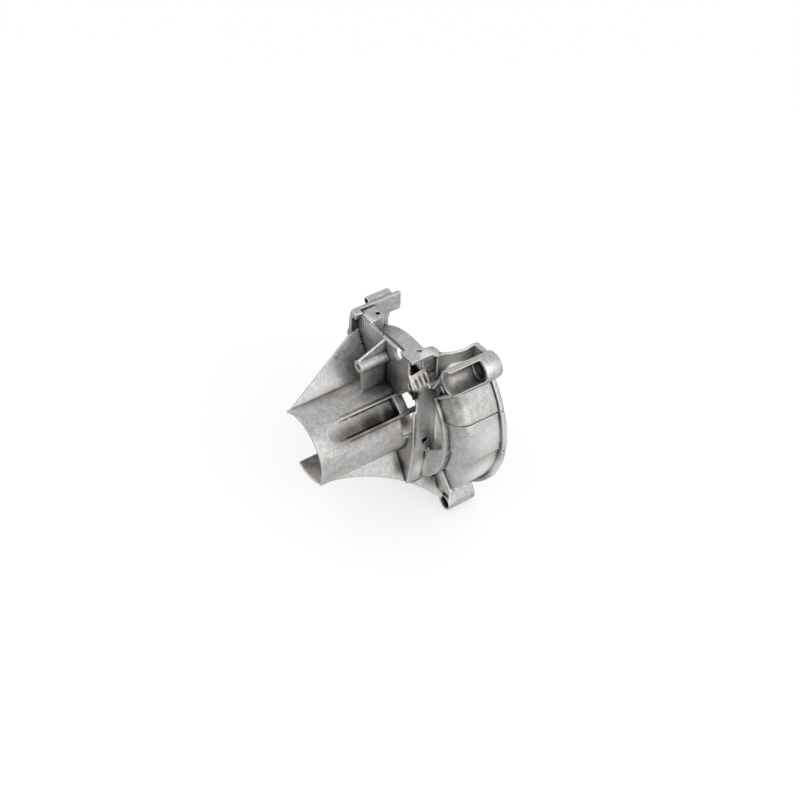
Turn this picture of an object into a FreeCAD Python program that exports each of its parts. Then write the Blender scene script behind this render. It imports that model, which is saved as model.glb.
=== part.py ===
"""Clutch housing: one aluminium die casting.

Millimetres. The clutch axis is the Y axis. The nose tube's mouth is at Y = 0 and the engine face is at
Y = housing_length. Z is up. Angles about the axis start at +X and grow towards +Z.
"""
import FreeCAD, Part
import math
import os
import Sketcher

Vector = FreeCAD.Vector

# Driving dimensions: name, value in millimetres or degrees, what it measures.
SIZES = [
    ("tube_radius", 42, "outside of the nose tube"),
    ("tube_wall", 3, "wall of the nose tube"),
    ("lip_setback", 6.5, "how far the lower lip stands back from the mouth"),
    ("lip_start", -116, "lower lip, first angle"),
    ("lip_high", 20, "where the mouth starts to slope back to the lip, below the axis"),
    ("lip_low", 36, "where that slope ends, below the axis"),
    ("far_setback", 33, "how far the far side of the mouth is cut back"),
    ("wall", 3, "general wall of the casting"),
    ("plate_station", 102, "front face of the cross plate"),
    ("drum_station", 119, "front face of the drum"),
    ("drum_radius", 82, "outside of the drum"),
    ("drum_window_first", 80, "first angle of the open part of the drum front"),
    ("drum_depth", 18, "length of the drum"),
    ("drum_clear_first", 64, "first angle at which the drum is clear of ribs inside"),
    ("drum_clear_last", 305, "last angle at which it is"),
    ("recess_first", -43, "recess beside the side wall, first angle of its floor"),
    ("recess_last", 50, "last angle of that floor"),
    ("recess_tip", 4.5, "that recess, how far below the axis it reaches the drum ring"),
    ("bell_station", 122.5, "front face of the bell"),
    ("bell_cone", 2.5, "how far the bell's front face slopes back"),
    ("bell_radius", 109, "outside of the bell"),
    ("bell_corner", 12, "outer radius of the bell's front corner"),
    ("bell_first", -210, "bell, first angle"),
    ("bell_last", 57, "bell, last angle"),
    ("panel_step", 1.8, "step between neighbouring bell panels"),
    ("groove_angle", 1.1, "width of the groove along a step, in degrees"),
    ("groove_depth", 1.3, "depth of that groove"),
    ("panel_pocket", 40.5, "angle of the wall along the pocket beside the upper tower"),
    ("pocket_depth", 12, "how far the bell lies lower in that pocket"),
    ("clear_gap", 0.5, "room for the clutch, inside the lowest wall of the bell"),
    ("pocket_end", 49, "angle where the pocket meets the sloping wall"),
    ("panel_high", 22, "angle of the upper panel step"),
    ("panel_middle", -3.5, "angle of the middle panel step"),
    ("panel_low", -25, "angle of the lower panel step"),
    ("low_recess_station", 137, "floor of the recess beside the lower bolt boss"),
    ("recess_inset", 4.1, "how far the side walls of that recess stay inside the bell"),
    ("recess_end", -64, "last angle of that recess"),
    ("column_radius", 5, "round rib in that recess"),
    ("column_angle", -48, "angle of the round rib"),
    ("housing_length", 175, "engine face, from the mouth of the tube"),
    ("flange_rim", 2.5, "how far the engine flange stands out beyond the bell"),
    ("flange_thickness", 5, "engine flange"),
    ("web_angle", 122.5, "large upper web"),
    ("web_height", 87.5, "radius of the large web where it meets the side wall"),
    ("web_reach", 88, "station where the large web is full height"),
    ("low_web_angle", -62, "lower web"),
    ("low_web_foot", 11, "how far the lower web reaches beyond the height of the lower bolts"),
    ("low_web_arc", 195, "radius of the lower web's hollow edge"),
    ("plate_top", 97, "top edge of the cross plate"),
    ("plate_left", 47, "cross plate, left of the axis"),
    ("plate_hole", 5.6, "radius of the hole in the cross plate"),
    ("plate_hole_x", 22.5, "that hole, right of the axis"),
    ("plate_hole_z", 91.5, "that hole, above the axis"),
    ("plate_corner", 70, "where the cross plate's left edge turns down to the tube"),
    ("window_inner", 22, "window in the plate, inner corner"),
    ("window_low", 36, "window in the plate, height of its inner corner"),
    ("window_top", 54, "window in the plate, upper edge"),
    ("window_notch", 34, "window in the plate, foot of its outer notch"),
    ("side_wall_x", 50, "outer face of the right side wall"),
    ("side_wall_back", 129, "back edge of the right side wall"),
    ("side_wall_low", 24, "how far the right side wall reaches below the axis"),
    ("side_wall_high", 60, "top of the right side wall"),
    ("side_band_low", 74, "lower end of the band under the right side wall, below the axis"),
    ("side_band_lean", 7.5, "how far that band leans in, down to its lower end"),
    ("side_corner", 9, "rounded lower corner of the right side wall"),
    ("side_hole", 3.4, "radius of the hole in the right side wall"),
    ("side_hole_y", 118, "station of that hole"),
    ("side_hole_z", 11.5, "how far that hole is below the axis"),
    ("fin_x", 49, "inner face of the left fin"),
    ("fin_wall", 5, "left fin"),
    ("fin_front", 95, "front edge of the left fin"),
    ("fin_back", 156, "back edge of the left fin"),
    ("fin_top", 100, "top edge of the left fin"),
    ("fin_foot", 60, "lower edge of the left fin"),
    ("lug_radius", 4.8, "screw lug on the fin"),
    ("lug_length", 28, "screw lug on the fin"),
    ("lug_hole", 2.4, "radius of the hole in that lug"),
    ("pad_top", 98, "top of the mounting pads"),
    ("pad_height", 14, "left mounting pad"),
    ("pad_height_right", 4, "right mounting pad"),
    ("pad_inner", 27, "inner edge of the mounting pads"),
    ("pad_back_left", 122, "back edge of the left mounting pad"),
    ("pad_back_right", 134, "back edge of the right mounting pad"),
    ("pad_round", 6, "rounded inner corner of the mounting pads"),
    ("pad_hole_x", 36, "mounting holes, from the middle"),
    ("pad_hole_y", 118, "mounting holes, station"),
    ("pad_hole", 2.5, "radius of the tapped mounting holes"),
    ("pad_hole_depth", 8, "depth of the tapped mounting holes"),
    ("boss_height", 74.5, "middle screw boss, above the axis"),
    ("boss_radius", 7, "middle screw boss"),
    ("boss_front", 70, "front end of the middle screw boss"),
    ("boss_hole", 2.6, "hole of the middle screw boss"),
    ("boss_hole_depth", 16, "depth of that hole"),
    ("upper_bolt_x", 82, "upper engine bolt"),
    ("upper_bolt_z", 87.5, "upper engine bolt"),
    ("upper_tower", 14, "radius of the tower round the upper bolt"),
    ("upper_bore", 11, "radius of the open spanner bore"),
    ("tower_length", 55, "upper tower, from the engine face"),
    ("bore_floor", 19, "end of the open spanner bore, from the engine face"),
    ("counterbore", 9.5, "radius of the counterbore behind the open bore"),
    ("bolt_seat", 8, "metal under the upper bolt's head"),
    ("lower_bolt_x", 59, "lower engine bolts, from the middle"),
    ("lower_bolt_z", 110, "lower engine bolts, below the axis"),
    ("lower_boss", 9.5, "radius of the lower bolt bosses"),
    ("boss_length", 35, "lower and left bolt bosses, from the engine face"),
    ("lead_in_depth", 7, "depth of the lead-in of the lower bolt holes"),
    ("left_bolt_x", 121, "left engine bolt, from the middle"),
    ("bolt_hole", 5.5, "radius of the engine bolt holes"),
    ("lead_in", 7.2, "radius of the lead-in of the lower bolt holes"),
    ("rail_height", 1.3, "how far the two rails stand above the tube"),
    ("rail_width", 2.4, "rails along the tube"),
    ("upper_rail", 62, "angle of the upper rail"),
    ("lower_rail", 32.5, "angle of the lower rail"),
    ("rail_start", 30, "front end of the rails"),
    ("channel_depth", 9, "channel between the rails, at its deep end"),
    ("channel_end", 97, "deep end of the channel"),
    ("bridge_end", 108, "back edge of the bridge behind the channel"),
    ("lower_window_end", 4, "lower window of the tube, last angle below the axis"),
    ("slope_top_x", 42, "sloping wall, upper edge"),
    ("slope_top_z", 76, "sloping wall, upper edge"),
    ("ridge_first", 104.5, "station of the first of the four ridges on the sloping wall"),
    ("ridge_pitch", 5, "from ridge to ridge"),
    ("ridge_width", 1.7, "one ridge"),
    ("ridge_length", 11, "one ridge, down the slope"),
    ("ridge_drop", 3.5, "how far below the sloping wall's edge a ridge starts"),
    ("ridge_rise", 1, "how far each ridge lies above the one before"),
    ("bead_radius", 1.1, "rounded beads along the edges of the right side wall"),
    ("bead_top", 28, "how far above the axis the beads end"),
    ("slope_back", 138, "back end of the sloping wall"),
    ("closing_top", 96, "top edge of the wall that closes the bell"),
    ("closing_front", 130, "front edge of that wall"),
    ("closing_sag", 3.4, "dip in the top edge of that wall"),
    ("closing_flare", 7.5, "how far that wall leans out to the flange"),
]

doc = FreeCAD.newDocument("clutch_housing")
sheet = doc.addObject("Spreadsheet::Sheet", "Sizes")
for row, (alias, value, note) in enumerate(SIZES, start=1):
    sheet.set("A%d" % row, note)
    sheet.set("B%d" % row, str(value))
    sheet.setAlias("B%d" % row, alias)
doc.recompute()


def sized(expression):
    """Put the sheet's name before each alias of an expression."""
    words = []
    word = ""
    aliases = {alias for alias, value, note in SIZES}
    for letter in str(expression) + " ":
        if letter.isalnum() or letter == "_" or (letter == "." and word):
            word += letter
        else:
            words.append("Sizes." + word if word in aliases else word)
            words.append(letter)
            word = ""
    return "".join(words).strip()


def vector(x, y, z):
    return "create(<<vector>>; %s; %s; %s)" % (x, y, z)


def rotation(x, y, z, angle):
    return "create(<<rotation>>; %s; %s)" % (vector(x, y, z), angle)


def placement(base, turn):
    return sized("create(<<placement>>; %s; %s)" % (base, turn))


def radial_plane(angle):
    """Sketch plane through the axis: sketch x is the radius, sketch y is the station."""
    return placement(vector(0, 0, 0), rotation(0, 1, 0, "-(%s)" % angle))


def cross_plane(station):
    """Sketch plane square to the axis: sketch x is X, sketch y is Z."""
    return placement(vector(0, station, 0), rotation(1, 0, 0, 90))


def level_plane(height):
    """Horizontal sketch plane: sketch x is X, sketch y is the station."""
    return placement(vector(0, 0, height), rotation(0, 0, 1, 0))


def side_plane(x):
    """Upright sketch plane along the axis: sketch x is the station, sketch y is Z."""
    return placement(vector(x, 0, 0), rotation(1, 1, 1, 120))


def arc_middle(start, end, radius, side):
    """Middle point of an arc of this radius that bulges to the left (side 1) or right (side -1)."""
    chord = end - start
    half = chord.Length / 2
    rise = radius - math.sqrt(max(radius * radius - half * half, 0))
    left = Vector(-chord.y, chord.x, 0).normalize()
    return (start + end) * 0.5 + left * (side * rise)


def outline(name, plane, corners, arcs=None):
    """Closed sketch through the corners, each a pair of expressions. arcs maps the index of an edge's
    first corner to (radius expression, side)."""
    arcs = arcs or {}
    drawing = doc.addObject("Sketcher::SketchObject", name + "_outline")
    drawing.setExpression("Placement", plane)
    for index, (across, along) in enumerate(corners):
        drawing.addGeometry(Part.Point(Vector(index, -index, 0)), True)
        held = drawing.addConstraint(Sketcher.Constraint("DistanceX", -1, 1, index, 1, 1.0 + index))
        drawing.setExpression("Constraints[%d]" % held, sized(across))
        held = drawing.addConstraint(Sketcher.Constraint("DistanceY", -1, 1, index, 1, 1.0 + index))
        drawing.setExpression("Constraints[%d]" % held, sized(along))
    doc.recompute()
    count = len(corners)
    points = [drawing.getPoint(index, 1) for index in range(count)]
    for index in range(count):
        start = points[index]
        end = points[(index + 1) % count]
        edge = count + index
        if index in arcs:
            radius, side = arcs[index]
            drawing.addProperty("App::PropertyLength", "Arc%d" % index)
            drawing.setExpression("Arc%d" % index, sized(radius))
            doc.recompute()
            size = float(getattr(drawing, "Arc%d" % index))
            curve = Part.Arc(start, arc_middle(start, end, size, side), end)
            drawing.addGeometry(curve)
            ends = (drawing.getPoint(edge, 1) - start).Length < (drawing.getPoint(edge, 2) - start).Length
            first, last = (1, 2) if ends else (2, 1)
            drawing.addConstraint(Sketcher.Constraint("Coincident", edge, first, index, 1))
            drawing.addConstraint(Sketcher.Constraint("Coincident", edge, last, (index + 1) % count, 1))
            held = drawing.addConstraint(Sketcher.Constraint("Radius", edge, size))
            drawing.setExpression("Constraints[%d]" % held, sized(radius))
        else:
            drawing.addGeometry(Part.LineSegment(start, end))
            drawing.addConstraint(Sketcher.Constraint("Coincident", edge, 1, index, 1))
            drawing.addConstraint(Sketcher.Constraint("Coincident", edge, 2, (index + 1) % count, 1))
    return drawing


def extruded(name, drawing, direction, length, symmetric=False):
    solid = doc.addObject("Part::Extrusion", name)
    solid.Base = drawing
    solid.DirMode = "Custom"
    solid.Dir = direction
    solid.setExpression("LengthFwd", sized(length))
    solid.Solid = True
    solid.Symmetric = symmetric
    return solid


def radial_wall(name, angle, corners, thickness="wall", arcs=None):
    """Wall in a plane through the axis."""
    drawing = outline(name, radial_plane(angle), corners, arcs)
    solid = doc.addObject("Part::Extrusion", name)
    solid.Base = drawing
    solid.DirMode = "Normal"
    solid.setExpression("LengthFwd", sized(thickness))
    solid.Solid = True
    solid.Symmetric = True
    return solid


def cross_wall(name, station, corners, thickness, arcs=None):
    """Wall square to the axis, from its station towards the engine."""
    drawing = outline(name, cross_plane(station), corners, arcs)
    return extruded(name, drawing, Vector(0, 1, 0), thickness)


def level_block(name, height, corners, thickness, arcs=None):
    """Block with an outline seen from above, from its height upwards."""
    drawing = outline(name, level_plane(height), corners, arcs)
    return extruded(name, drawing, Vector(0, 0, 1), thickness)


def side_block(name, x, corners, thickness, arcs=None):
    """Block with an outline seen from the side, from x towards +X."""
    drawing = outline(name, side_plane(x), corners, arcs)
    return extruded(name, drawing, Vector(1, 0, 0), thickness)


def turned(name, corners, first="0", last="360", arcs=None):
    """Solid of revolution about the axis, from the first to the last angle."""
    drawing = outline(name, radial_plane(first), corners, arcs)
    solid = doc.addObject("Part::Revolution", name)
    solid.Source = drawing
    solid.Axis = Vector(0, -1, 0)
    solid.Base = Vector(0, 0, 0)
    solid.setExpression("Angle", sized("(%s) - (%s)" % (last, first)))
    solid.Solid = True
    return solid


def ring(name, inner, outer, front, back, first="0", last="360"):
    """Plain ring or part of a ring about the axis."""
    corners = [(inner, front), (outer, front), (outer, back), (inner, back)]
    return turned(name, corners, first, last)


def rod(name, radius, x, z, front, back):
    """Cylinder parallel to the axis."""
    solid = doc.addObject("Part::Cylinder", name)
    solid.setExpression("Radius", sized(radius))
    solid.setExpression("Height", sized("(%s) - (%s)" % (back, front)))
    solid.setExpression("Placement", placement(vector(x, front, z), rotation(1, 0, 0, -90)))
    return solid


def fused(name, pieces):
    solid = doc.addObject("Part::MultiFuse", name)
    solid.Shapes = pieces
    solid.Refine = False
    return solid


def cut(name, base, tools):
    """Base with one tool after another cut away; the last step has the name."""
    for index, tool in enumerate(tools, start=1):
        solid = doc.addObject("Part::Cut", name if index == len(tools) else "%s_%d" % (name, index))
        solid.Base = base
        solid.Tool = tool
        solid.Refine = False
        base = solid
    return base


def gathered(name, pieces):
    """Compound of pieces that don't touch each other."""
    group = doc.addObject("Part::Compound", name)
    group.Links = pieces
    return group


castings = []
first_cutters = []
second_cutters = []

# Nose tube, closed by the drum front.
tube_rod = rod("tube_rod", "tube_radius", "0", "0", "0", "drum_station + wall")
nose_bore = rod("nose_bore", "tube_radius - tube_wall", "0", "0", "-1", "drum_station + wall + 1")
lip_cut = side_block("lip_cut", "-tube_radius", [
    ("-1", "-lip_high"),
    ("0", "-lip_high"),
    ("lip_setback", "-lip_low"),
    ("lip_setback", "-tube_radius - 1"),
    ("-1", "-tube_radius - 1"),
], "2 * tube_radius")
far_cut = ring("far_cut", "tube_radius - tube_wall - 2", "tube_radius + 2", "-1", "far_setback",
               "web_angle + 3 - 360", "lip_start")
castings.append(cut("nose_tube", tube_rod, [nose_bore, lip_cut, far_cut]))

# Channel between two rails, sunk into the tube, with its own floor.
CHANNEL_ANGLE = "(upper_rail + lower_rail) / 2"
CHANNEL_WIDTH = "2 * tube_radius * sin((upper_rail - lower_rail) / 2) - rail_width"
channel_floor = radial_wall("channel_floor", CHANNEL_ANGLE, [
    ("tube_radius - tube_wall / 2", "rail_start - 20"),
    ("tube_radius - tube_wall / 2", "channel_end + wall"),
    ("tube_radius - channel_depth - wall", "channel_end + wall"),
    ("tube_radius - tube_wall - 1", "rail_start - 20"),
], CHANNEL_WIDTH + " + 2 * wall")
channel_cut = radial_wall("channel_cut", CHANNEL_ANGLE, [
    ("tube_radius + 2", "rail_start - 12"),
    ("tube_radius + 2", "channel_end"),
    ("tube_radius - channel_depth", "channel_end"),
    ("tube_radius - 0.4", "rail_start - 12"),
], CHANNEL_WIDTH)
castings.append(channel_floor)
for name, angle in (("upper_rail_bar", "upper_rail"), ("lower_rail_bar", "lower_rail")):
    castings.append(radial_wall(name, angle, [
        ("tube_radius - tube_wall / 2", "rail_start"),
        ("tube_radius + rail_height", "rail_start + 8"),
        ("tube_radius + rail_height", "drum_station + wall"),
        ("tube_radius - tube_wall / 2", "drum_station + wall"),
    ], "rail_width"))
window_upper = ring("window_upper", "tube_radius - tube_wall - 8", "tube_radius + 9", "bridge_end",
                    "drum_station", "lower_rail + 4", "upper_rail - 3")
window_lower = ring("window_lower", "tube_radius - tube_wall - 8", "side_wall_x - wall", "plate_station - 6",
                    "drum_station", "-lower_window_end", "lower_rail - 4")

# Large upper web, from the tube's mouth to the side wall.
castings.append(radial_wall("upper_web", "web_angle", [
    ("tube_radius - tube_wall / 2", "4"),
    ("tube_radius", "4"),
    ("web_height", "web_reach"),
    ("web_height + 5", "plate_station + wall"),
    ("tube_radius - tube_wall / 2", "plate_station + wall"),
]))

# Cross plate.
plate_blank = cross_wall("plate_blank", "plate_station", [
    ("-plate_left", "plate_top"),
    ("plate_left", "plate_top"),
    ("plate_left", "pad_top - pad_height_right"),
    ("slope_top_x - 1", "pad_top - pad_height_right"),
    ("slope_top_x - 1", "slope_top_z - 15"),
    ("side_wall_x - 2", "slope_top_z - 15"),
    ("side_wall_x", "side_wall_high - 9"),
    ("side_wall_x", "-side_wall_low + 2"),
    ("side_wall_x - side_band_lean", "-side_band_low"),
    ("0", "0"),
    ("-plate_left", "plate_corner"),
], "wall")
plate_hole = rod("plate_hole", "plate_hole", "plate_hole_x", "plate_hole_z", "plate_station - 1",
                 "plate_station + wall + 1")
plate_window = cross_wall("plate_window", "plate_station - 1", [
    ("window_inner", "window_low"),
    ("side_wall_x - 12", "window_top"),
    ("side_wall_x + 1", "window_top"),
    ("side_wall_x + 1", "window_notch"),
    ("side_wall_x - wall + 0.5", "window_notch - 4"),
    ("side_wall_x - wall + 0.5", "2"),
    ("tube_radius - 2", "-2"),
], "wall + 2")
plate_bore = rod("plate_bore", "tube_radius - tube_wall", "0", "0", "plate_station - 1",
                 "plate_station + wall + 1")
castings.append(cut("cross_plate", plate_blank, [plate_bore, plate_hole, plate_window]))

# Right side wall, its lower band and the sloping wall above it.
castings.append(side_block("side_wall", "side_wall_x - wall", [
    ("plate_station", "-side_wall_low"),
    ("side_wall_back - side_corner", "-side_wall_low"),
    ("side_wall_back", "-side_wall_low + side_corner"),
    ("side_wall_back", "side_wall_high"),
    ("plate_station + 4", "side_wall_high - 2"),
    ("plate_station + 4", "window_notch"),
    ("plate_station", "window_notch - 4"),
], "wall", {1: ("side_corner", -1)}))
castings.append(cross_wall("side_band", "plate_station", [
    ("side_wall_x", "-side_wall_low + 2"),
    ("side_wall_x - side_band_lean", "-side_band_low"),
    ("side_wall_x - side_band_lean - wall", "-side_band_low"),
    ("side_wall_x - wall", "-side_wall_low + 2"),
], "drum_station - plate_station + 1"))
slope_outline = outline("sloping_wall", cross_plane("plate_station"), [
    ("slope_top_x - 2", "slope_top_z - 2.5"),
    ("slope_top_x", "slope_top_z"),
    ("side_wall_x", "side_wall_high"),
    ("side_wall_x", "side_wall_high - 9"),
    ("side_wall_x - wall", "side_wall_high - 9"),
    ("side_wall_x - wall", "side_wall_high - 1.5"),
])
castings.append(extruded("sloping_wall", slope_outline, Vector(0, 5, 1), "slope_back - plate_station"))
RIDGES = 4
for step in range(RIDGES):
    start = "ridge_first + %d * ridge_pitch" % step
    ridge = outline("ridge_%d" % step, level_plane("slope_top_z - ridge_drop + %d * ridge_rise" % step), [
        ("slope_top_x - 1", start),
        ("slope_top_x + 3", start),
        ("slope_top_x + 3", start + " + ridge_width"),
        ("slope_top_x - 1", start + " + ridge_width"),
    ])
    castings.append(extruded("ridge_bar_%d" % step, ridge, Vector(8, 3, -16), "ridge_length"))
for name, station in (("back_bead", "side_wall_back - bead_radius"),
                      ("front_bead", "plate_station + bead_radius + 0.3")):
    bead = doc.addObject("Part::Cylinder", name)
    bead.setExpression("Radius", "Sizes.bead_radius")
    bead.setExpression("Height", sized("side_wall_low - side_corner + bead_top"))
    bead.setExpression("Placement", placement(vector("side_wall_x", station, "side_corner - side_wall_low"),
                                              rotation(0, 0, 1, 0)))
    castings.append(bead)
side_hole = doc.addObject("Part::Cylinder", "side_hole_tool")
side_hole.setExpression("Radius", "Sizes.side_hole")
side_hole.setExpression("Height", sized("wall + 4"))
side_hole.setExpression("Placement", placement(
    vector("side_wall_x - wall - 2", "side_hole_y", "-side_hole_z"), rotation(0, 1, 0, 90)))

# Left fin with the ledge that joins it to the plate, and the screw lug on its outer side.
castings.append(side_block("left_fin", "-fin_x - fin_wall", [
    ("fin_front - 2", "fin_foot + 6"),
    ("fin_front", "fin_top - 8"),
    ("fin_front + 3", "fin_top"),
    ("fin_back", "fin_top"),
    ("fin_back - 1", "fin_top - 27"),
    ("fin_back - 12", "fin_top - 38"),
    ("fin_front + 10", "fin_foot"),
], "fin_wall"))
castings.append(side_block("fin_ledge", "-fin_x - 1", [
    ("fin_front + 1", "fin_top - 7"),
    ("fin_front + 1", "fin_top"),
    ("plate_station + wall", "fin_top"),
    ("plate_station + wall", "fin_top - 7"),
], "fin_x - plate_left + 5"))
LUG_X = "-fin_x - fin_wall - lug_radius + 0.8"
LUG_BACK = "fin_back - 9"
castings.append(rod("fin_lug", "lug_radius", LUG_X, "fin_top - 2", LUG_BACK + " - lug_length", LUG_BACK))
fin_lug_hole = rod("fin_lug_hole", "lug_hole", LUG_X, "fin_top - 2", LUG_BACK + " - lug_length - 1",
                   LUG_BACK + " + 1")

# Mounting pads on top.
castings.append(level_block("left_pad", "pad_top - pad_height", [
    ("-fin_x - 1", "plate_station"),
    ("-pad_inner", "plate_station"),
    ("-pad_inner", "pad_back_left - pad_round"),
    ("-pad_inner - pad_round", "pad_back_left"),
    ("-fin_x - 1", "pad_back_left"),
], "pad_height", {2: ("pad_round", -1)}))
castings.append(level_block("right_pad", "pad_top - pad_height_right", [
    ("pad_inner", "plate_station"),
    ("plate_left", "plate_station"),
    ("plate_left", "pad_back_right - 7"),
    ("side_wall_x + 2", "pad_back_right - 3"),
    ("plate_left", "pad_back_right + 1"),
    ("plate_left - 9", "pad_back_right"),
    ("pad_inner + 8", "pad_back_right - 10"),
    ("pad_inner", "pad_back_right - 15"),
], "pad_height_right", {3: ("pad_round", 1), 5: ("2 * pad_round", -1)}))
castings.append(side_block("pad_wall", "plate_left - wall", [
    ("plate_station + 11", "pad_top - pad_height_right + 1"),
    ("plate_station + 13", "pad_top - 12"),
    ("plate_station + 22", "slope_top_z"),
    ("pad_back_right", "slope_top_z"),
    ("pad_back_right", "pad_top - pad_height_right + 1"),
], "wall"))
pad_holes = []
for name, side in (("left_pad_hole", "-pad_hole_x"), ("right_pad_hole", "pad_hole_x")):
    hole = doc.addObject("Part::Cylinder", name)
    hole.setExpression("Radius", "Sizes.pad_hole")
    hole.setExpression("Height", sized("pad_hole_depth + 1"))
    hole.setExpression("Placement", placement(vector(side, "pad_hole_y", "pad_top - pad_hole_depth"),
                                              rotation(0, 0, 1, 0)))
    pad_holes.append(hole)

# Middle screw boss with its rib and its foot.
castings.append(rod("screw_boss", "boss_radius", "0", "boss_height", "boss_front", "plate_station + wall"))
boss_hole_tool = rod("boss_hole_tool", "boss_hole", "0", "boss_height", "boss_front - 1",
                     "boss_front + boss_hole_depth")
castings.append(radial_wall("boss_rib", "90", [
    ("boss_height", "boss_front"),
    ("boss_height + boss_radius + 1.5", "boss_front"),
    ("plate_top", "plate_station + 1"),
    ("boss_height", "plate_station + 1"),
], "wall - 0.6"))
castings.append(radial_wall("boss_foot", "90", [
    ("tube_radius - tube_wall / 2", "boss_front + 3"),
    ("boss_height", "boss_front + 3"),
    ("boss_height", "plate_station + 1"),
    ("tube_radius - tube_wall / 2", "plate_station + 1"),
]))

# Drum: its front face and its ring.
castings.append(ring("drum_front", "tube_radius - tube_wall", "drum_radius", "drum_station",
                     "drum_station + wall"))
castings.append(ring("drum_ring", "drum_radius - wall", "drum_radius", "drum_station",
                     "drum_station + drum_depth"))
drum_window = ring("drum_window", "tube_radius + 4", "drum_radius - 6", "drum_station - 1",
                   "drum_station + wall + 1", "drum_window_first", "web_angle + 2")

# Recess between the side wall and the drum ring, with its floor further back.
RECESS_RADIUS = "(drum_radius - 6)"
recess_corners = [
    ("side_wall_x", "-side_wall_low - 4"),
    ("drum_radius - 6.2", "-recess_tip"),
    ("side_wall_x", "sqrt(%s * %s - side_wall_x * side_wall_x)" % (RECESS_RADIUS, RECESS_RADIUS)),
]
recess_cut = cross_wall("recess_cut", "drum_station - 6", recess_corners,
                        "side_wall_back + 1 - drum_station + 6", {1: (RECESS_RADIUS, -1)})
castings.append(ring("recess_floor", "side_wall_x - wall", "drum_radius - 1", "side_wall_back + 1",
                     "side_wall_back + 1 + wall", "recess_first", "recess_last"))
castings.append(ring("recess_wall", "drum_radius - 7", "drum_radius - 1", "drum_station",
                     "side_wall_back + 1 + wall", "-10", "recess_last"))

# Bell: one turned panel after another, each a little lower than the one above it.
def bell_panel(name, first, last, lower, inner="bell_radius - wall - 2 * panel_step - 0.5", flange="0"):
    """Turned part of the bell. lower is how far its outside lies below the highest panel, inner its inside
    radius, and flange how far its part of the flange is cut back."""
    outer = "(bell_radius - (%s))" % lower
    front = "(bell_station + (%s))" % lower
    corners = [
        ("drum_radius - wall", front),
        (outer + " - bell_corner", front + " + bell_cone"),
        (outer, front + " + bell_cone + bell_corner"),
        (outer, "housing_length - flange_thickness"),
        ("bell_radius + flange_rim - " + flange, "housing_length - flange_thickness"),
        ("bell_radius + flange_rim - " + flange, "housing_length"),
        (inner, "housing_length"),
        (inner, front + " + bell_cone + bell_corner"),
        (inner + " - bell_corner + wall", front + " + bell_cone + wall"),
        ("drum_radius - wall", front + " + wall"),
    ]
    castings.append(turned(name, corners, first, last, {1: ("bell_corner", -1)}))


GROOVE = "groove_depth"
bell_panel("panel_top", "panel_pocket", "bell_last", "pocket_depth", "bell_radius - pocket_depth - wall")
bell_panel("panel_a", "panel_high", "panel_pocket", "0")
bell_panel("groove_a", "panel_high - groove_angle", "panel_high", "panel_step + groove_depth", flange=GROOVE)
bell_panel("panel_b", "panel_middle", "panel_high - groove_angle", "panel_step")
bell_panel("groove_b", "panel_middle - groove_angle", "panel_middle", "2 * panel_step + groove_depth - 0.5",
           flange=GROOVE)
bell_panel("panel_c", "panel_low", "panel_middle - groove_angle", "2 * panel_step")
bell_panel("panel_d", "bell_first", "recess_end", "2 * panel_step")
castings.append(turned("low_recess", [
    ("drum_radius - wall", "low_recess_station"),
    ("bell_radius - 2 * panel_step", "low_recess_station"),
    ("bell_radius - 2 * panel_step", "housing_length - flange_thickness"),
    ("bell_radius + flange_rim", "housing_length - flange_thickness"),
    ("bell_radius + flange_rim", "housing_length"),
    ("bell_radius - wall - 2 * panel_step - 0.5", "housing_length"),
    ("bell_radius - wall - 2 * panel_step - 0.5", "low_recess_station + wall"),
    ("drum_radius - wall", "low_recess_station + wall"),
], "recess_end", "panel_low"))
castings.append(radial_wall("low_recess_side", "panel_low - 0.8", [
    ("drum_radius - wall", "bell_station + 2 * panel_step"),
    ("bell_radius - recess_inset - bell_corner", "bell_station + bell_cone + 2 * panel_step"),
    ("bell_radius - recess_inset", "bell_station + bell_cone + bell_corner + 2 * panel_step"),
    ("bell_radius - recess_inset", "low_recess_station + wall"),
    ("drum_radius - wall", "low_recess_station + wall"),
], "wall", {1: ("bell_corner", -1)}))
castings.append(radial_wall("recess_end_side", "recess_end + 0.8", [
    ("drum_radius - wall", "bell_station + 2 * panel_step"),
    ("bell_radius - recess_inset - bell_corner", "bell_station + bell_cone + 2 * panel_step"),
    ("bell_radius - recess_inset", "bell_station + bell_cone + bell_corner + 2 * panel_step"),
    ("bell_radius - recess_inset", "low_recess_station + wall"),
    ("drum_radius - wall", "low_recess_station + wall"),
], "wall", {1: ("bell_corner", -1)}))
column = doc.addObject("Part::Cylinder", "low_column")
column.setExpression("Radius", "Sizes.column_radius")
column.setExpression("Height", sized("bell_radius - drum_radius + wall"))
COLUMN_FOOT = "(drum_radius - wall)"
column.setExpression("Placement", placement(
    vector(COLUMN_FOOT + " * cos(column_angle)", "low_recess_station", COLUMN_FOOT + " * sin(column_angle)"),
    rotation(0, 1, 0, "90 - column_angle")))
castings.append(column)

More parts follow.
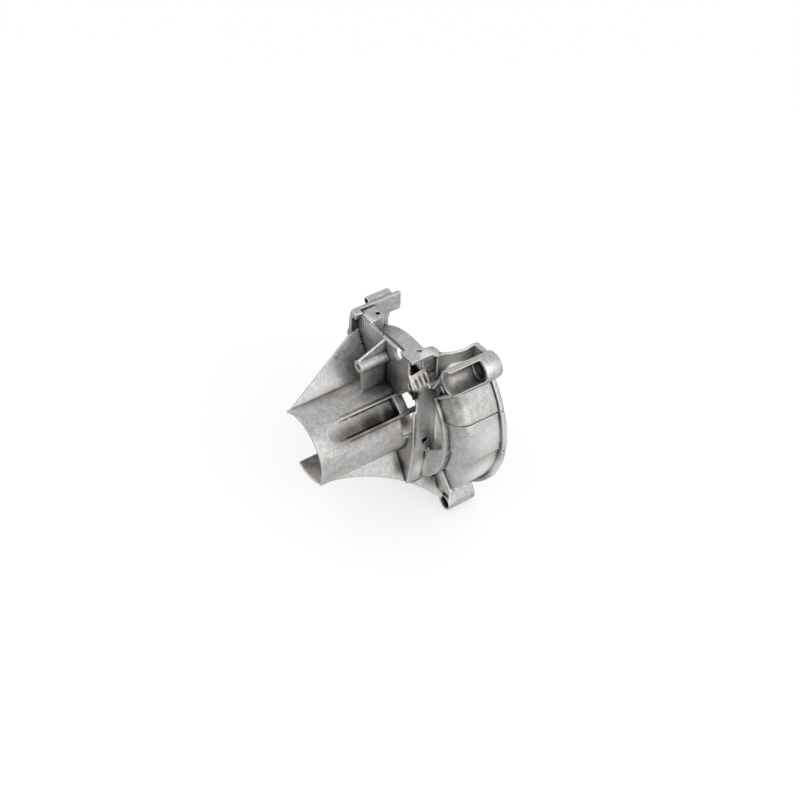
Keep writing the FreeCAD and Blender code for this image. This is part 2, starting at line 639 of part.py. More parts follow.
# Wall along the lower side of the pocket, out to the tower, and the wall along its upper side.
castings.append(radial_wall("pocket_wall", "panel_pocket", [
    ("drum_radius - 6", "drum_station + 2"),
    ("drum_radius", "bell_station - 1"),
    ("bell_radius - bell_corner + 0.6", "bell_station + bell_cone - 1"),
    ("bell_radius + 0.9", "bell_station + bell_cone + bell_corner - 0.5"),
    ("bell_radius + 4.5", "bell_station + bell_cone + bell_corner + 6"),
    ("bell_radius + 12", "bell_station + bell_cone + bell_corner + 18"),
    ("bell_radius + 12", "housing_length - flange_thickness + 1"),
    ("bell_radius - 2 * wall", "housing_length - flange_thickness + 1"),
    ("bell_radius - 2 * wall", "bell_station + bell_cone + bell_corner + 2"),
    ("bell_radius - bell_corner - 2", "bell_station + bell_cone + wall + 1"),
    ("drum_radius - 6", "bell_station + wall"),
], "wall", {2: ("bell_corner", -1)}))
castings.append(cross_wall("trough_wall", "drum_station + 1", [
    ("side_wall_x - 1", "side_wall_high - 8"),
    ("side_wall_x + 9", "side_wall_high + 4.5"),
    ("upper_bolt_x - 9", "upper_bolt_z + 4.5"),
    ("upper_bolt_x - 4", "upper_bolt_z + 12"),
    ("upper_bolt_x - 6.5", "upper_bolt_z + 12.5"),
    ("upper_bolt_x - 11.5", "upper_bolt_z + 6.5"),
    ("side_wall_x + 6.5", "side_wall_high + 6.5"),
    ("side_wall_x - 3", "side_wall_high - 5"),
], "housing_length - flange_thickness - drum_station"))

# Room inside the bell and the drum, clear of the floors of both recesses.
inside_cut = ring("inside_cut", "tube_radius", "bell_radius - pocket_depth - wall - clear_gap",
                  "low_recess_station + wall + clear_gap", "housing_length + 1")
drum_cut = ring("drum_cut", "tube_radius - tube_wall - 4", "drum_radius - 7.5", "drum_station + wall",
                "low_recess_station + wall + 1", "drum_clear_first", "drum_clear_last")
pocket_cut = ring("pocket_cut", "drum_radius - 8", "drum_radius + 1.5", "drum_station - 1",
                  "side_wall_back + 2", "panel_pocket + 1.2", "pocket_end")

# Walls that close the bell at its two ends.
castings.append(level_block("closing_wall", "fin_foot", [
    ("side_wall_x - wall - 1", "closing_front"),
    ("side_wall_x", "closing_front"),
    ("side_wall_x + closing_flare", "housing_length"),
    ("side_wall_x + closing_flare - wall", "housing_length"),
], "closing_top - fin_foot"))
closing_dip = side_block("closing_dip", "side_wall_x - wall - 1", [
    ("closing_front + 4", "closing_top + 1"),
    ("closing_front + 13", "closing_top - 0.6 * closing_sag"),
    ("closing_front + 24", "closing_top - closing_sag"),
    ("housing_length - 14", "closing_top - closing_sag"),
    ("housing_length - flange_thickness + 1", "closing_top + 1"),
], "closing_flare + wall + 3")
castings.append(radial_wall("left_closing_wall", "bell_first + 1", [
    ("drum_radius - wall", "bell_station + 1"),
    ("bell_radius - 3", "bell_station + bell_cone + 1"),
    ("bell_radius - 3", "housing_length"),
    ("drum_radius - wall", "drum_station + drum_depth"),
]))

# Engine bolt towers and bosses, placed from the engine face.
TOWER_FRONT = "(housing_length - tower_length)"
BORE_END = "(housing_length - bore_floor)"
SEAT = "(housing_length - bolt_seat)"
BOSS_FRONT = "(housing_length - boss_length)"
castings.append(rod("upper_tower_rod", "upper_tower", "upper_bolt_x", "upper_bolt_z", TOWER_FRONT,
                    "housing_length"))
castings.append(cross_wall("flange_corner", "housing_length - flange_thickness", [
    ("side_wall_x + closing_flare - wall", "closing_top - 8"),
    ("side_wall_x + closing_flare - wall", "closing_top"),
    ("upper_bolt_x - 8", "closing_top"),
    ("upper_bolt_x", "upper_bolt_z"),
], "flange_thickness"))
for name, x, z in (("lower_boss_right", "lower_bolt_x", "-lower_bolt_z"),
                   ("lower_boss_left", "-lower_bolt_x", "-lower_bolt_z"),
                   ("left_boss", "-left_bolt_x", "0")):
    castings.append(rod(name, "lower_boss", x, z, BOSS_FRONT, "housing_length"))
    reach = "sqrt((%s) * (%s) + (%s) * (%s))" % (x, x, z, z)
    castings.append(radial_wall(name + "_ear", "atan2(%s; %s)" % (z, x), [
        ("bell_radius - wall - 2 * panel_step", BOSS_FRONT + " + 8"),
        (reach, BOSS_FRONT),
        (reach, "housing_length"),
        ("bell_radius - wall - 2 * panel_step", "housing_length"),
    ], "2 * lower_boss"))
    first_cutters.append(rod(name + "_hole", "bolt_hole", x, z, BOSS_FRONT + " - 1", "housing_length + 1"))
    second_cutters.append(rod(name + "_lead_in", "lead_in", x, z, BOSS_FRONT + " - 1",
                              BOSS_FRONT + " + lead_in_depth"))
spanner_bore = rod("spanner_bore", "upper_bore", "upper_bolt_x", "upper_bolt_z", TOWER_FRONT + " - 4",
                   BORE_END)
upper_counterbore = rod("upper_counterbore", "counterbore", "upper_bolt_x", "upper_bolt_z",
                        BORE_END + " - 1", SEAT)
upper_hole = rod("upper_hole", "bolt_hole", "upper_bolt_x", "upper_bolt_z", SEAT + " - 1",
                 "housing_length + 1")
tower_opening = cross_wall("tower_opening", TOWER_FRONT + " - 4", [
    ("upper_bolt_x - 2.8", "upper_bolt_z + 10.6"),
    ("upper_bolt_x + 8.5", "upper_bolt_z - 7"),
    ("upper_bolt_x + 26", "upper_bolt_z + 3"),
    ("upper_bolt_x + 14", "upper_bolt_z + 22"),
], BORE_END + " - " + TOWER_FRONT + " + 4")

# Lower web with its hollow edge, from the tube to the lower bolt boss.
castings.append(radial_wall("lower_web", "low_web_angle", [
    ("tube_radius - tube_wall / 2", "8"),
    ("tube_radius + 1", "8"),
    ("lower_bolt_z + low_web_foot", BOSS_FRONT + " - 1"),
    ("lower_bolt_z + low_web_foot", BOSS_FRONT + " + 3"),
    ("tube_radius - tube_wall / 2", "drum_station + wall"),
], "wall", {1: ("low_web_arc", 1)}))

first_cutters += [channel_cut, window_upper, window_lower, side_hole, fin_lug_hole, boss_hole_tool]
first_cutters += pad_holes + [drum_window, recess_cut, spanner_bore, closing_dip]
second_cutters += [tower_opening, upper_counterbore, pocket_cut, inside_cut, drum_cut]

raw_casting = fused("raw_casting", castings)
housing = cut("housing", raw_casting, [
    gathered("first_cutters", first_cutters),
    gathered("second_cutters", second_cutters),
    upper_hole,
])
housing.Label = "clutch_housing"
doc.recompute()

NODES = [housing]

for item in doc.Objects:
    if "Invalid" in item.State or "Error" in item.State:
        raise RuntimeError("%s failed: %s" % (item.Name, item.State))
for node in NODES:
    if node.Shape.isNull() or not node.Shape.isValid():
        raise RuntimeError(node.Label + " has no valid shape")
os.makedirs("parts", exist_ok=True)
for node in NODES:
    node.Shape.exportStep("parts/%s.step" % node.Label)
    box = node.Shape.BoundBox
    print(node.Label, "solids", len(node.Shape.Solids), "faces", len(node.Shape.Faces),
          "volume %.0f" % node.Shape.Volume, "box %.1f %.1f %.1f" % (box.XLength, box.YLength, box.ZLength))
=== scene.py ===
"""Clutch housing, an aluminium die casting, dressed for rendering.

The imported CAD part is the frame. X runs across, Y along the clutch axis towards the engine, Z up, in metres.
"""

import math

import bmesh
import bpy
import numpy as np
from mathutils import Matrix


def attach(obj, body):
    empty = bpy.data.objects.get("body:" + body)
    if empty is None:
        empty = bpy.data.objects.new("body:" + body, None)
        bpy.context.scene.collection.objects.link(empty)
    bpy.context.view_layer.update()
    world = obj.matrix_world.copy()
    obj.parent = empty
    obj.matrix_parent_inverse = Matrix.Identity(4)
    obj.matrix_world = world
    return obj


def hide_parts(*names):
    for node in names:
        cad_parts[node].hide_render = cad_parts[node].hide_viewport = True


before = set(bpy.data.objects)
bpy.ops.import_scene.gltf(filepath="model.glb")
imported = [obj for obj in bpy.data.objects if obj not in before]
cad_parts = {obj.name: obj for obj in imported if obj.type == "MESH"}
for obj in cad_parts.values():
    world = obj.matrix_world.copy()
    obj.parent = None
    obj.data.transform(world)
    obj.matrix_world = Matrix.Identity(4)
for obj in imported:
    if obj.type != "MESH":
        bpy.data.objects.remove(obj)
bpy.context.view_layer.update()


# ---- The raw casting ----
# Die-cast aluminium, one shot from the die, so it has no sharp edge: every inside corner is filled with a fillet
# and every outside edge was rounded in the tumbling drum.

CAST_GRID = 0.0007
TUMBLE_PASSES = 3
TUMBLE_SHARE = 0.5
FILLET_PASSES = 6
FILLET_SHARE = 0.6
EDGE_SHARE = 0.06
SLIDE_SHARE = 0.3
SKIN_TRIANGLES = 190000


def merged_copy(node, name):
    """A copy of a CAD node's mesh whose loose triangles share their corners."""
    mesh = node.data.copy()
    mesh.name = name
    solid = bmesh.new()
    solid.from_mesh(mesh)
    bmesh.ops.remove_doubles(solid, verts=solid.verts, dist=1e-6)
    solid.to_mesh(mesh)
    solid.free()
    piece = bpy.data.objects.new(name, mesh)
    bpy.context.scene.collection.objects.link(piece)
    return piece


def settle(piece):
    """Replaces a piece's mesh with what its modifiers make of it."""
    bpy.context.view_layer.update()
    shaped = bpy.data.meshes.new_from_object(piece.evaluated_get(bpy.context.evaluated_depsgraph_get()))
    piece.modifiers.clear()
    shaped.name = piece.data.name
    piece.data = shaped


def corner_sum(corners, values, count):
    """Adds each face's value, an array of rows, to every corner of that face."""
    total = np.zeros((count, values.shape[1]))
    for column in range(corners.shape[1]):
        for part in range(values.shape[1]):
            total[:, part] += np.bincount(corners[:, column], weights=values[:, part], minlength=count)
    return total


def cast_corners(mesh, passes, outward, inward):
    """Moves each vertex towards the mean of its neighbours, along its normal. The move is scaled by outward where
    it adds metal, in an inside corner, and by inward where it takes metal off, on an outside edge. A smaller share
    of the move along the surface keeps the faces even. Returns the height in metres that each vertex gained, and
    the edges."""
    count = len(mesh.vertices)
    points = np.empty(count * 3)
    mesh.vertices.foreach_get("co", points)
    points = points.reshape(-1, 3)
    corners = np.empty(len(mesh.loops), dtype=np.int64)
    mesh.loops.foreach_get("vertex_index", corners)
    corners = corners.reshape(-1, 4)
    edges = np.empty(len(mesh.edges) * 2, dtype=np.int64)
    mesh.edges.foreach_get("vertices", edges)
    edges = edges.reshape(-1, 2)
    degree = np.bincount(edges.ravel(), minlength=count)[:, None]
    gained = np.zeros(count)
    for step in range(passes):
        across = points[corners[:, 2]] - points[corners[:, 0]]
        along = points[corners[:, 3]] - points[corners[:, 1]]
        normal = corner_sum(corners, np.cross(across, along), count)
        normal /= np.maximum(np.linalg.norm(normal, axis=1, keepdims=True), 1e-20)
        mean = np.empty_like(points)
        for part in range(3):
            column = points[:, part]
            mean[:, part] = np.bincount(edges[:, 0], weights=column[edges[:, 1]], minlength=count)
            mean[:, part] += np.bincount(edges[:, 1], weights=column[edges[:, 0]], minlength=count)
        move = mean / degree - points
        rise = np.sum(move * normal, axis=1, keepdims=True)
        rise *= np.where(rise > 0, outward, inward)
        points += normal * rise
        gained += rise[:, 0]
        points += (move - normal * np.sum(move * normal, axis=1, keepdims=True)) * SLIDE_SHARE
    mesh.vertices.foreach_set("co", points.ravel())
    mesh.update()
    return gained, edges


def spread(values, edges, passes):
    """Mean of each vertex's value and its neighbours', taken passes times."""
    degree = np.bincount(edges.ravel(), minlength=len(values)) + 1
    for step in range(passes):
        total = values + np.bincount(edges[:, 0], weights=values[edges[:, 1]], minlength=len(values))
        values = (total + np.bincount(edges[:, 1], weights=values[edges[:, 0]], minlength=len(values))) / degree
    return values


def keep_on_corners(mesh, name, values):
    """Stores one number a vertex, which the material reads."""
    mesh.attributes.new(name, "FLOAT", "POINT").data.foreach_set("value", values)


casting = merged_copy(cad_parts["clutch_housing"], "raw_casting")
grid = casting.modifiers.new("casting_grid", "REMESH")
grid.mode = "VOXEL"
grid.voxel_size = CAST_GRID
settle(casting)
rounded, edges = cast_corners(casting.data, TUMBLE_PASSES, TUMBLE_SHARE, TUMBLE_SHARE)
filled, edges = cast_corners(casting.data, FILLET_PASSES,
                             FILLET_SHARE, EDGE_SHARE)
gained_mm = (rounded + filled) * 1000
# Painted shade and light: metal gained, spread a little for the creases and further for the inside corners, and metal
# lost, for the lighter edges that are partly worn and partly a painted highlight.
keep_on_corners(casting.data, "crease", spread(np.maximum(gained_mm, 0), edges, 2))
keep_on_corners(casting.data, "shade", spread(np.maximum(gained_mm, 0), edges, 8))
keep_on_corners(casting.data, "edge", np.maximum(-gained_mm, 0))
fewer = casting.modifiers.new("fewer_faces", "DECIMATE")
fewer.ratio = min(1.0, SKIN_TRIANGLES / (2.0 * len(casting.data.polygons)))
settle(casting)
casting.data.polygons.foreach_set("use_smooth", np.ones(len(casting.data.polygons), dtype=bool))
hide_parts("clutch_housing")
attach(casting, "root")


def linear(hex_colour):
    """An sRGB hex colour as linear red, green, blue and alpha."""
    values = [int(hex_colour[i:i + 2], 16) / 255 for i in (1, 3, 5)]
    return tuple(v / 12.92 if v <= 0.04045 else ((v + 0.055) / 1.055) ** 2.4 for v in values) + (1.0,)


def add_node(tree, kind, settings=None, links=None):
    """Adds a node, sets its properties and the sockets named or numbered in settings, and links its inputs."""
    node = tree.nodes.new(kind)
    for key, value in (settings or {}).items():
        if isinstance(key, str) and hasattr(node, key):
            setattr(node, key, value)
        else:
            node.inputs[key].default_value = value
    for key, source in (links or {}).items():
        tree.links.new(source, node.inputs[key])
    return node


# Tumbled die-cast aluminium: a dull silver grey skin. The tumbling leaves a fine mottle, and the die's release agent
# brown and rosy stains where it pooled. Painted shade darkens the pockets, fillets, gaps and holes, painted light
# brightens some spots, and the edges are lighter, partly rubbed bare and partly a painted highlight.

MOTTLE = 0.005
SPECKLE = 0.0013
STAIN = 0.034
POCKET_REACH = 0.02
GRAIN_HEIGHT = 0.0003
# Colours: two mottle greys, a pale grey for painted light, a lighter grey for edges that are partly worn bare and
# partly a painted highlight, the rosy stain, three painted shade greys (pockets and inside corners, the deepest
# pockets and holes, creases), and a brown that is partly burnt stain and partly painted shade.
DULL_GREY, PALE_GREY, PAINTED_LIGHT_METAL, WORN_AND_HIGHLIT_METAL = "#A09F9E", "#C4C3C1", "#E6E6E4", "#E2E2E0"
ROSY, PAINTED_SHADE_GREY, POCKET_SHADE_GREY, CREASE_SHADE_GREY, BURNT_STAIN_AND_SHADE = "#D9C6BC", "#857D76", "#3A3531", "#443E39", "#4C443D"
HATCH_GROUND = "#85888C"
HATCH_PITCH = 0.0034
HATCH_LOW = (-0.043, 0.100, 0.060)
HATCH_HIGH = (-0.003, 0.104, 0.0985)

# Burnt die lubricant, brown or blue black, in the channel and on the bell, and painted shade in the pockets, gaps and
# holes: the middle and the reach of each soft spot, in metres, and its strength.
BURNT_AND_SHADE_SPOTS = (
    # painted shade in the corner between tube and cross plate, and a burnt stain in the channel on the tube
    ((0.012, 0.098, 0.052), (0.030, 0.042, 0.036), 0.66),
    ((0.027, 0.090, 0.020), (0.016, 0.026, 0.016), 1.0),
    ((0.029, 0.068, 0.023), (0.018, 0.036, 0.018), 0.95),
    ((0.031, 0.042, 0.024), (0.016, 0.042, 0.016), 0.75),
    # painted shade round the sloping wall and in the gaps beside it, with one brown stain among them
    ((0.049, 0.102, 0.056), (0.008, 0.010, 0.011), 1.7),
    ((0.059, 0.124, 0.050), (0.013, 0.012, 0.009), 1.2),
    ((0.072, 0.123, 0.080), (0.010, 0.008, 0.012), 0.7),
    ((0.075, 0.123, 0.034), (0.008, 0.007, 0.012), 0.6),
    ((0.050, 0.101, 0.000), (0.006, 0.006, 0.034), 0.45),
    ((0.087, 0.131, 0.063), (0.014, 0.012, 0.012), 0.5),
    ((0.032, 0.100, -0.054), (0.012, 0.012, 0.018), 0.65),
    ((0.028, 0.119, 0.067), (0.014, 0.006, 0.010), 1.5),
    # painted shade on the front edge of the left fin, and at the bottom of the bell inside
    ((-0.052, 0.094, 0.074), (0.009, 0.012, 0.014), 0.5),
    ((-0.045, 0.098, 0.090), (0.010, 0.012, 0.014), 0.5),
    ((-0.051, 0.164, -0.088), (0.016, 0.014, 0.016), 0.9),
    # painted shade down the bolt and screw holes
    ((0.082, 0.158, 0.0875), (0.012, 0.018, 0.012), 1.4),
    ((0.059, 0.146, -0.110), (0.0092, 0.024, 0.0092), 2.2),
    ((-0.059, 0.146, -0.110), (0.0092, 0.024, 0.0092), 2.2),
    ((-0.121, 0.146, 0.000), (0.0092, 0.024, 0.0092), 2.2),
    ((0.000, 0.080, 0.0745), (0.0042, 0.016, 0.0042), 2.5),
    ((-0.058, 0.119, 0.098), (0.0042, 0.030, 0.0042), 2.5),
    ((0.046, 0.119, -0.012), (0.009, 0.007, 0.007), 1.4),
)

# Painted light: places lightened to a pale metal grey, given in the same way.
PAINTED_LIGHT_SPOTS = (
    # the top of the hatched patch
    ((-0.026, 0.102, 0.092), (0.026, 0.012, 0.020), 0.9),
    # the side wall, the recess behind it and its lower band
    ((0.050, 0.116, 0.012), (0.012, 0.022, 0.060), 0.8),
    ((0.055, 0.127, -0.002), (0.014, 0.014, 0.060), 1.3),
    ((0.046, 0.117, -0.052), (0.012, 0.014, 0.026), 0.9),
    # the right of the bell
    ((0.104, 0.160, 0.012), (0.024, 0.036, 0.034), 0.6),
    ((0.100, 0.160, -0.036), (0.028, 0.040, 0.034), 0.9),
    # the inner face of the wall that closes the bell, the right pad and the upper tower
    ((0.056, 0.148, 0.084), (0.016, 0.040, 0.024), 1.0),
    ((0.047, 0.121, 0.097), (0.014, 0.012, 0.008), 0.8),
    ((0.091, 0.150, 0.094), (0.012, 0.030, 0.012), 0.8),
    # the top of the tube
    ((-0.012, 0.062, 0.040), (0.012, 0.016, 0.012), 0.6),
)


def soft_spots(tree, place, spots):
    """The largest of the spots' values. A spot is an ellipsoid: its value is its strength at the middle, falls to 0
    at its reach in a smooth step, and a strength above 1 keeps it full further out."""
    total = None
    for middle, reach, strength in spots:
        scaled = [1 / side for side in reach]
        offset = [-middle[axis] / reach[axis] for axis in range(3)]
        away = add_node(tree, "ShaderNodeVectorMath", {"operation": "MULTIPLY_ADD", 1: scaled, 2: offset}, {0: place})
        far = add_node(tree, "ShaderNodeVectorMath", {"operation": "LENGTH"}, {0: away.outputs["Vector"]})
        spot = add_node(tree, "ShaderNodeMapRange", {
            "interpolation_type": "SMOOTHSTEP", "From Min": 0.15, "From Max": 1.0, "To Min": strength, "To Max": 0.0},
            {"Value": far.outputs["Value"]})
        if total is not None:
            spot = add_node(tree, "ShaderNodeMath", {"operation": "MAXIMUM"},
                            {0: spot.outputs[0], 1: total.outputs[0]})
        total = spot
    return total.outputs[0]


def hatched_patch(tree, place):
    """Two numbers for a box on the cross plate, both 0 outside it: how far a small square grid stands out, 0 to 1,
    and 1 for being inside. The grid is the larger of two sines, across and up. The real one is about 2.2 mm, and is
    drawn coarser so that it shows."""
    parts = add_node(tree, "ShaderNodeSeparateXYZ", links={0: place})
    inside = None
    for axis in range(3):
        middle = (HATCH_LOW[axis] + HATCH_HIGH[axis]) / 2
        half = (HATCH_HIGH[axis] - HATCH_LOW[axis]) / 2
        near = add_node(tree, "ShaderNodeMath", {"operation": "COMPARE", 1: middle, 2: half},
                        {0: parts.outputs[axis]})
        if inside is not None:
            near = add_node(tree, "ShaderNodeMath", {"operation": "MULTIPLY"},
                            {0: near.outputs[0], 1: inside.outputs[0]})
        inside = near
    bars = []
    for axis in (0, 2):
        turn = add_node(tree, "ShaderNodeMath", {"operation": "MULTIPLY", 1: 2 * math.pi / HATCH_PITCH},
                        {0: parts.outputs[axis]})
        bars.append(add_node(tree, "ShaderNodeMath", {"operation": "SINE"}, {0: turn.outputs[0]}))
    higher = add_node(tree, "ShaderNodeMath", {"operation": "MAXIMUM"},
                      {0: bars[0].outputs[0], 1: bars[1].outputs[0]})
    raised = add_node(tree, "ShaderNodeMapRange", {"From Min": 0.2, "From Max": 0.9}, {"Value": higher.outputs[0]})
    hatch = add_node(tree, "ShaderNodeMath", {"operation": "MULTIPLY"},
                     {0: raised.outputs["Result"], 1: inside.outputs[0]})
    return hatch.outputs[0], inside.outputs[0]


def darkened(tree, colour, value, low, high, weak, strong, hue):
    """Multiplies the colour by hue, by the share weak where value is low and by the share strong where it is high."""
    share = add_node(tree, "ShaderNodeMapRange", {
        "From Min": low, "From Max": high, "To Min": weak, "To Max": strong}, {"Value": value})
    return add_node(tree, "ShaderNodeMix", {"data_type": "RGBA", "blend_type": "MULTIPLY", 7: linear(hue)},
                    {0: share.outputs["Result"], 6: colour}).outputs[2]


def tumbled_aluminium(name):
    """Metal whose grey follows two noises, then stains, painted light spots, painted shade in the pockets and
    fillets, lighter edges that are partly bare metal and partly a painted highlight, burnt stains and painted shade
    spots, and the hatched patch. The same noises and the patch give its bump, and one its sheen."""
    material = bpy.data.materials.new(name)
    material.use_nodes = True
    tree = material.node_tree
    tree.nodes.clear()
    place = add_node(tree, "ShaderNodeTexCoord").outputs["Object"]
    mottle = add_node(tree, "ShaderNodeTexNoise", {"Scale": 1 / MOTTLE, "Detail": 6.0, "Roughness": 0.7},
                      {"Vector": place})
    speckle = add_node(tree, "ShaderNodeTexNoise", {"Scale": 1 / SPECKLE, "Detail": 3.0, "Roughness": 0.6},
                       {"Vector": place})
    stain = add_node(tree, "ShaderNodeTexNoise", {"Scale": 1 / STAIN, "Detail": 4.0, "Roughness": 0.55},
                     {"Vector": place})
    grey = add_node(tree, "ShaderNodeValToRGB", links={"Fac": mottle.outputs["Fac"]})
    grey.color_ramp.elements[0].position = 0.34
    grey.color_ramp.elements[0].color = linear(DULL_GREY)
    grey.color_ramp.elements[1].position = 0.68
    grey.color_ramp.elements[1].color = linear(PALE_GREY)
    fine = add_node(tree, "ShaderNodeMapRange", {"From Min": 0.3, "From Max": 0.7, "To Min": 0.78, "To Max": 1.2},
                    {"Value": speckle.outputs["Fac"]})
    speckled = add_node(tree, "ShaderNodeVectorMath", {"operation": "SCALE"},
                        {0: grey.outputs["Color"], "Scale": fine.outputs["Result"]})
    skin = darkened(tree, speckled.outputs["Vector"], stain.outputs["Fac"], 0.5, 0.66, 0.0, 0.3, ROSY)
    # Painted light: the spots mix in a pale metal grey, and further on they hold back the painted shade.
    painted_light = soft_spots(tree, place, PAINTED_LIGHT_SPOTS)
    skin = add_node(tree, "ShaderNodeMix", {"data_type": "RGBA", 7: linear(PAINTED_LIGHT_METAL)},
                    {0: painted_light, 6: skin}).outputs[2]

    # Painted shade: ambient occlusion darkens the pockets, and darkens the deepest pockets and the holes further.
    pocket = add_node(tree, "ShaderNodeAmbientOcclusion", {"samples": 8, "Distance": POCKET_REACH})
    open_sky = add_node(tree, "ShaderNodeMath", {"operation": "MAXIMUM"},
                        {0: pocket.outputs["AO"], 1: painted_light}).outputs[0]
    skin = darkened(tree, skin, open_sky, 0.1, 0.75, 0.5, 0.0, PAINTED_SHADE_GREY)
    skin = darkened(tree, skin, open_sky, 0.04, 0.34, 0.95, 0.0, POCKET_SHADE_GREY)
    # Lighter edges, partly rubbed bare by the tumbling and partly a painted highlight.
    edge = add_node(tree, "ShaderNodeAttribute", {"attribute_name": "edge"})
    wear_and_highlight = add_node(tree, "ShaderNodeMapRange", {"From Min": 0.05, "From Max": 0.2, "To Min": 0.0, "To Max": 0.55},
                    {"Value": edge.outputs["Fac"]})
    skin = add_node(tree, "ShaderNodeMix", {"data_type": "RGBA", 7: linear(WORN_AND_HIGHLIT_METAL)},
                    {0: wear_and_highlight.outputs["Result"], 6: skin}).outputs[2]
    # Painted shade near the inside corners and in the creases, held back where there is painted light.
    shade_kept = add_node(tree, "ShaderNodeMath", {"operation": "MULTIPLY_ADD", 1: -0.6, 2: 1.0}, {0: painted_light})
    for shade_layer, low, high, strong, hue in (("shade", 0.02, 0.12, 0.5, PAINTED_SHADE_GREY),
                                         ("crease", 0.05, 0.24, 0.92, CREASE_SHADE_GREY)):
        gain = add_node(tree, "ShaderNodeAttribute", {"attribute_name": shade_layer})
        held = add_node(tree, "ShaderNodeMath", {"operation": "MULTIPLY"},
                        {0: gain.outputs["Fac"], 1: shade_kept.outputs[0]})
        skin = darkened(tree, skin, held.outputs[0], low, high, 0.0, strong, hue)
    # Burnt stains and painted shade spots.
    skin = darkened(tree, skin, soft_spots(tree, place, BURNT_AND_SHADE_SPOTS), 0.0, 1.0, 0.0, 1.0, BURNT_STAIN_AND_SHADE)

    hatch, patch = hatched_patch(tree, place)
    low_ground = add_node(tree, "ShaderNodeMath", {"operation": "SUBTRACT"}, {0: patch, 1: hatch})
    skin = darkened(tree, skin, low_ground.outputs[0], 0.0, 1.0, 0.0, 1.0, HATCH_GROUND)
    grain = add_node(tree, "ShaderNodeMath", {"operation": "MULTIPLY_ADD", 1: 0.35},
                     {0: speckle.outputs["Fac"], 2: mottle.outputs["Fac"]})
    height = add_node(tree, "ShaderNodeMath", {"operation": "MULTIPLY_ADD", 1: 1.5},
                      {0: hatch, 2: grain.outputs["Value"]})
    bump = add_node(tree, "ShaderNodeBump", {"Strength": 0.6, "Distance": GRAIN_HEIGHT},
                    {"Height": height.outputs["Value"]})
    rough = add_node(tree, "ShaderNodeMapRange", {"From Min": 0.3, "From Max": 0.7, "To Min": 0.37, "To Max": 0.53},
                     {"Value": mottle.outputs["Fac"]})
    shader = add_node(tree, "ShaderNodeBsdfPrincipled", {"Metallic": 1.0},
                      {"Base Color": skin, "Roughness": rough.outputs["Result"], "Normal": bump.outputs["Normal"]})
    add_node(tree, "ShaderNodeOutputMaterial", links={"Surface": shader.outputs["BSDF"]})
    return material


casting.data.materials.clear()
casting.data.materials.append(tumbled_aluminium("tumbled_die_cast_aluminium"))


# ---- The table it is photographed on ----
# A plain white sheet a little below the lowest boss. It shows partly its own white, more of it further out, so that
# the part's shadow is as faint as in a product photograph and the far end of the sheet melts into the room. The
# metal sees more of that white, as it would on a lit table.

SHEET_HEIGHT = -0.1196
SHEET_REACH = 6.0
OWN_WHITE = 0.6
OWN_WHITE_IN_METAL = 0.95
NEAR_PART, FAR_FROM_PART = 0.4, 1.6


def shown_to(tree):
    """1 for a ray from the camera and for one that metal or glass sends on, 0 for all others."""
    rays = add_node(tree, "ShaderNodeLightPath")
    either = add_node(tree, "ShaderNodeMath", {"operation": "MAXIMUM"},
                      {0: rays.outputs["Is Camera Ray"], 1: rays.outputs["Is Glossy Ray"]})
    return add_node(tree, "ShaderNodeMath", {"operation": "MAXIMUM"},
                    {0: either.outputs[0], 1: rays.outputs["Is Transmission Ray"]}).outputs[0]


def studio_sheet(name):
    """Flat square sheet of one face. Its own white is mixed in by a share that grows in a straight line with the
    distance from the part."""
    reach, height = SHEET_REACH, SHEET_HEIGHT
    corners = [(-reach, -reach, height), (reach, -reach, height), (reach, reach, height), (-reach, reach, height)]
    mesh = bpy.data.meshes.new(name)
    mesh.from_pydata(corners, [], [(0, 1, 2, 3)])
    sheet = bpy.data.objects.new(name, mesh)
    bpy.context.scene.collection.objects.link(sheet)
    material = bpy.data.materials.new("white_paper")
    material.use_nodes = True
    tree = material.node_tree
    tree.nodes.clear()
    paper = add_node(tree, "ShaderNodeBsdfDiffuse", {"Color": linear("#FFFFFF")})
    glow = add_node(tree, "ShaderNodeEmission", {"Color": linear("#FFFFFF"), "Strength": 1.0})
    place = add_node(tree, "ShaderNodeTexCoord").outputs["Object"]
    away = add_node(tree, "ShaderNodeVectorMath", {"operation": "LENGTH"}, {0: place})
    rays = add_node(tree, "ShaderNodeLightPath")
    near = add_node(tree, "ShaderNodeMath", {
        "operation": "MULTIPLY_ADD", 1: OWN_WHITE_IN_METAL - OWN_WHITE, 2: OWN_WHITE},
        {0: rays.outputs["Is Glossy Ray"]})
    own = add_node(tree, "ShaderNodeMapRange", {"From Min": NEAR_PART, "From Max": FAR_FROM_PART, "To Max": 1.0},
                   {"Value": away.outputs["Value"], "To Min": near.outputs[0]})
    shown = add_node(tree, "ShaderNodeMath", {"operation": "MULTIPLY"},
                     {0: shown_to(tree), 1: own.outputs["Result"]})
    sheet_look = add_node(tree, "ShaderNodeMixShader", links={
        0: shown.outputs[0], 1: paper.outputs["BSDF"], 2: glow.outputs["Emission"]})
    add_node(tree, "ShaderNodeOutputMaterial", links={"Surface": sheet_look.outputs["Shader"]})
    mesh.materials.append(material)
    return sheet


studio_sheet("floor_sheet")


# ---- Light ----
# One large soft lamp high on the right, one weaker on the left, and a pale room.

ROOM_LIGHT = 0.9


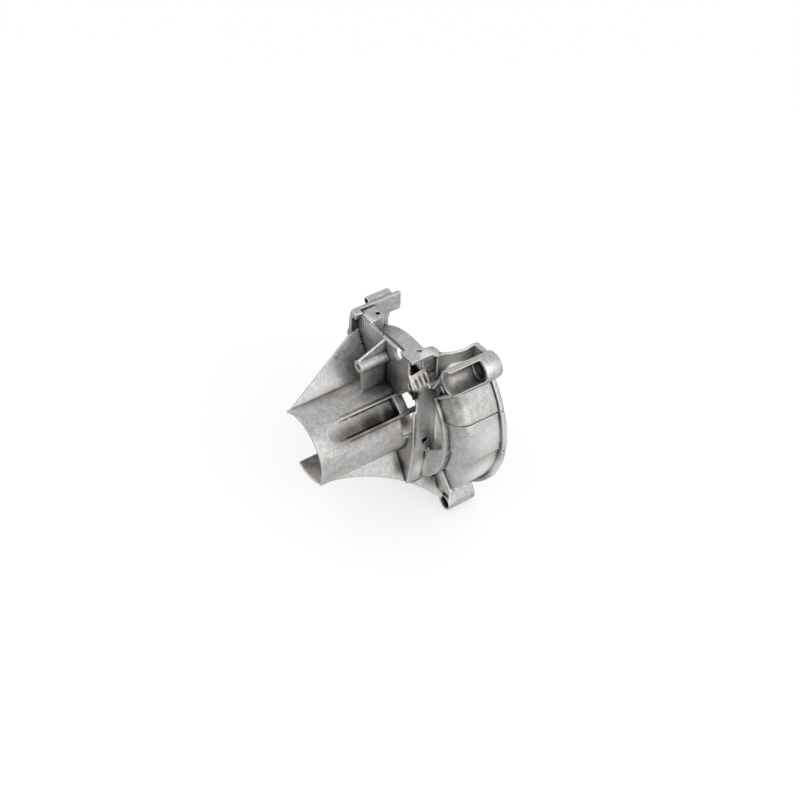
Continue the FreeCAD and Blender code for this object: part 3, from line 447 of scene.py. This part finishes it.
def soft_lamp(name, place, target, size, power):
    """Square area lamp that faces its target: its axes are the line away from the target, the level line across it
    and the one square to both."""
    lamp = bpy.data.lights.new(name, "AREA")
    lamp.size = size
    lamp.energy = power
    holder = bpy.data.objects.new(name, lamp)
    away = np.array(place, dtype=float) - np.array(target, dtype=float)
    away /= np.linalg.norm(away)
    across = np.cross((0.0, 0.0, 1.0), away)
    across /= np.linalg.norm(across)
    up = np.cross(away, across)
    holder.matrix_world = Matrix(((across[0], up[0], away[0], place[0]), (across[1], up[1], away[1], place[1]),
                                  (across[2], up[2], away[2], place[2]), (0, 0, 0, 1)))
    bpy.context.scene.collection.objects.link(holder)


soft_lamp("right_lamp", (1.5, 0.0, 0.7), (0.0, 0.1, 0.0), 1.8, 15.0)
soft_lamp("left_lamp", (-0.9, -1.0, 1.3), (0.0, 0.1, 0.0), 2.0, 3.0)
world = bpy.data.worlds.new("pale_room")
world.use_nodes = True
bpy.context.scene.world = world
room = world.node_tree
room.nodes.clear()
plain = add_node(room, "ShaderNodeBackground", {"Color": linear("#FFFFFF"), "Strength": ROOM_LIGHT})
white = add_node(room, "ShaderNodeBackground", {"Color": linear("#FFFFFF"), "Strength": 1.0})
seen = add_node(room, "ShaderNodeMixShader", links={
    0: shown_to(room), 1: plain.outputs["Background"], 2: white.outputs["Background"]})
add_node(room, "ShaderNodeOutputWorld", links={"Surface": seen.outputs["Shader"]})


# ---- Camera ----
# At the photograph's viewing angle: above, in front and to the right, looking down about 42 degrees.

CAMERA_PLACE = (0.7529, -0.4145, 0.8454)
CAMERA_RIGHT = (0.572, 0.820, 0.011)
CAMERA_DOWN = (0.557, -0.378, -0.740)
CAMERA_AHEAD = (-0.603, 0.429, -0.673)
lens = bpy.data.cameras.new("camera")
lens.lens = 54.0
lens.sensor_width = 36.0
lens.sensor_fit = "HORIZONTAL"
lens.clip_start = 0.01
camera = bpy.data.objects.new("camera", lens)
camera.matrix_world = Matrix((
    (CAMERA_RIGHT[0], -CAMERA_DOWN[0], -CAMERA_AHEAD[0], CAMERA_PLACE[0]),
    (CAMERA_RIGHT[1], -CAMERA_DOWN[1], -CAMERA_AHEAD[1], CAMERA_PLACE[1]),
    (CAMERA_RIGHT[2], -CAMERA_DOWN[2], -CAMERA_AHEAD[2], CAMERA_PLACE[2]),
    (0, 0, 0, 1)))
bpy.context.scene.collection.objects.link(camera)
bpy.context.scene.camera = camera
bpy.context.scene.view_settings.view_transform = "Standard"
